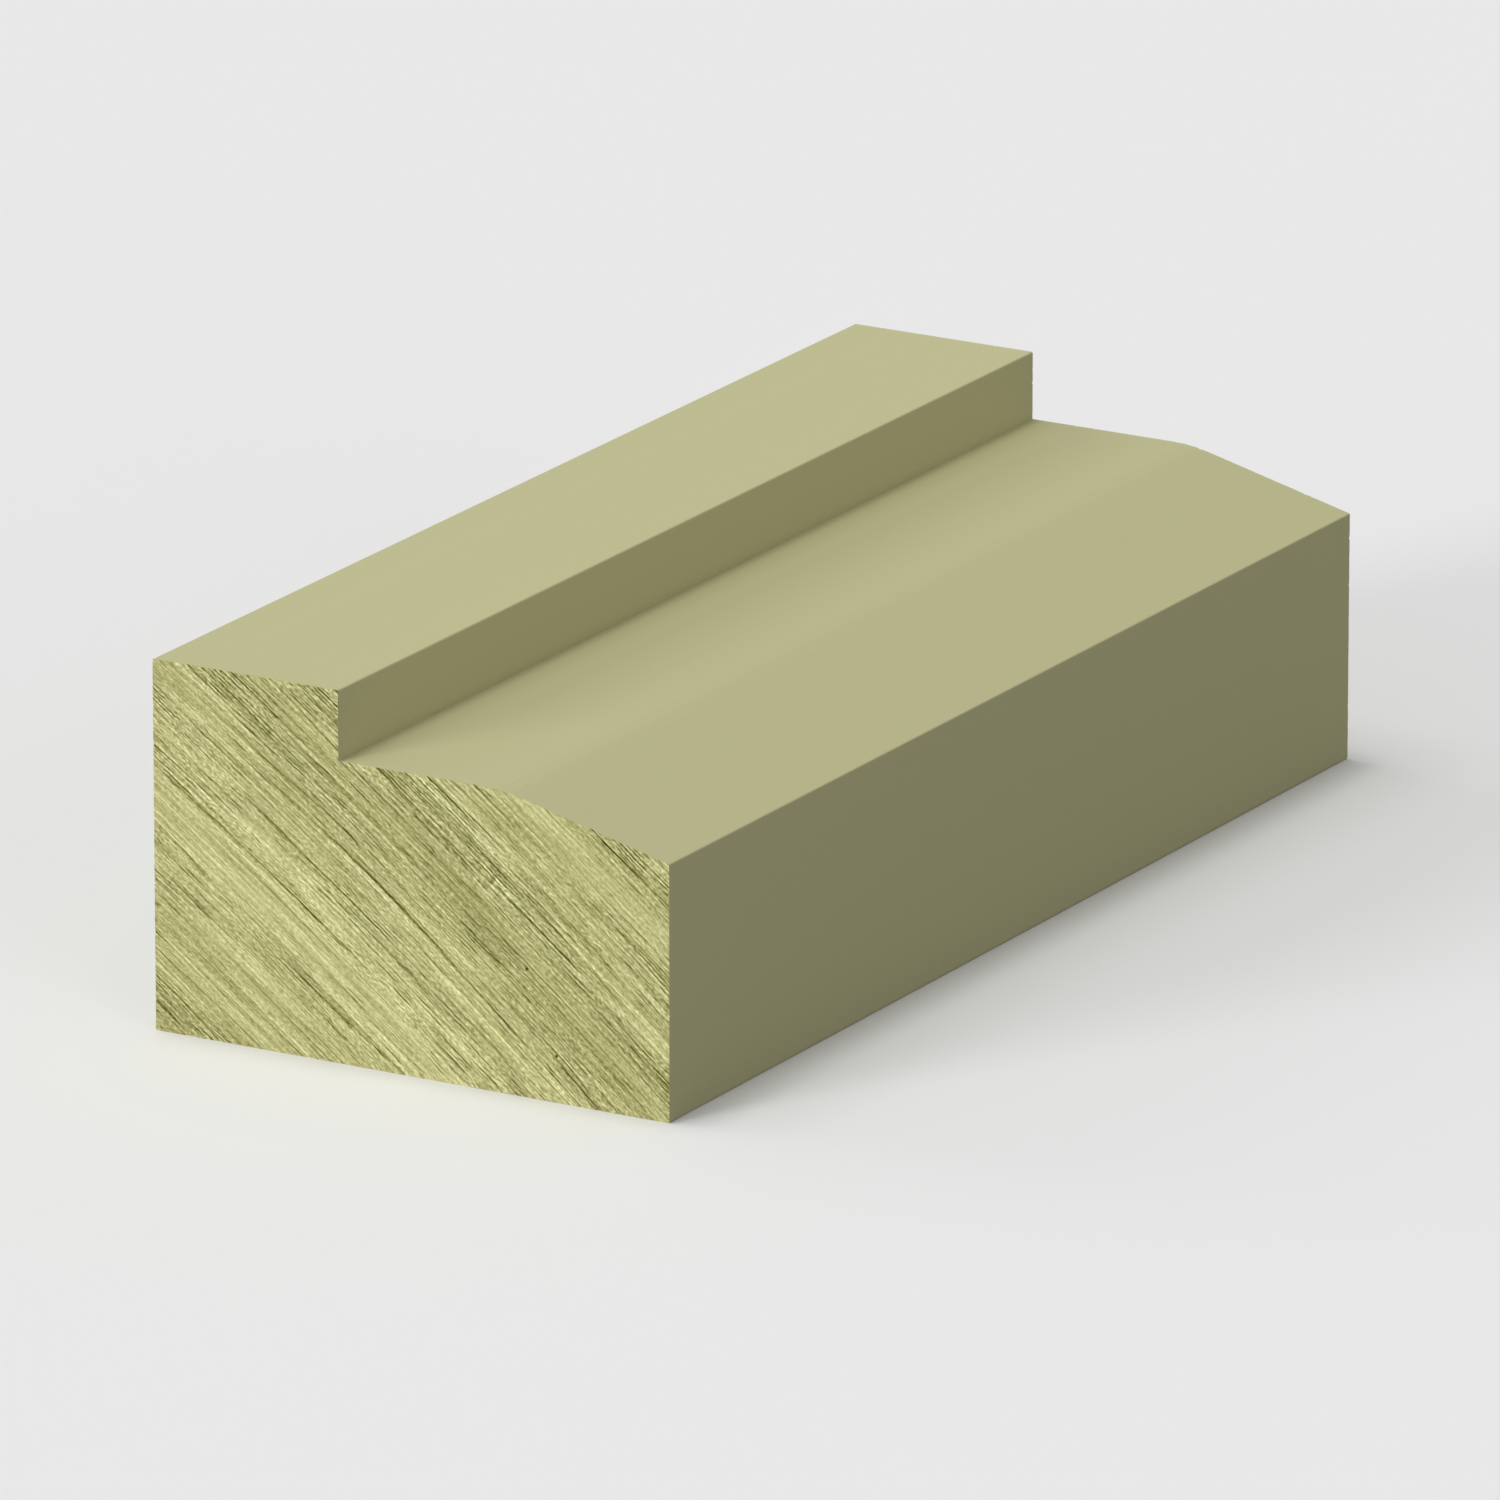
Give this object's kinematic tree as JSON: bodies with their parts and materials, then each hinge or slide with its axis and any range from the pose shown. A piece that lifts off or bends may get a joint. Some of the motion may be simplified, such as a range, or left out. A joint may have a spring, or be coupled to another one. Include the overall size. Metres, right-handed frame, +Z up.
{
  "type": "rebated wood moulding",
  "caption": "Short length of planed wood frame moulding: a raised stop along the back, a level rebate seat beside it and a bevel falling to the nose, cut square at the ends.",
  "frame": {"origin": "on the bedding face under the section, midway across its width and midway along its length", "axes": "+Y along the grain and the length, +X across the section from the back face to the nose, +Z up from the bedding face to the top of the stop"},
  "size_m": [0.069, 0.163, 0.045],
  "materials": {
    "wood": "planed pale olive softwood, smooth and matt on the long faces, with rough sawn end grain on the cut ends"
  },
  "bodies": {
    "root": {"moulding": "wood"}
  },
  "joints": []
}
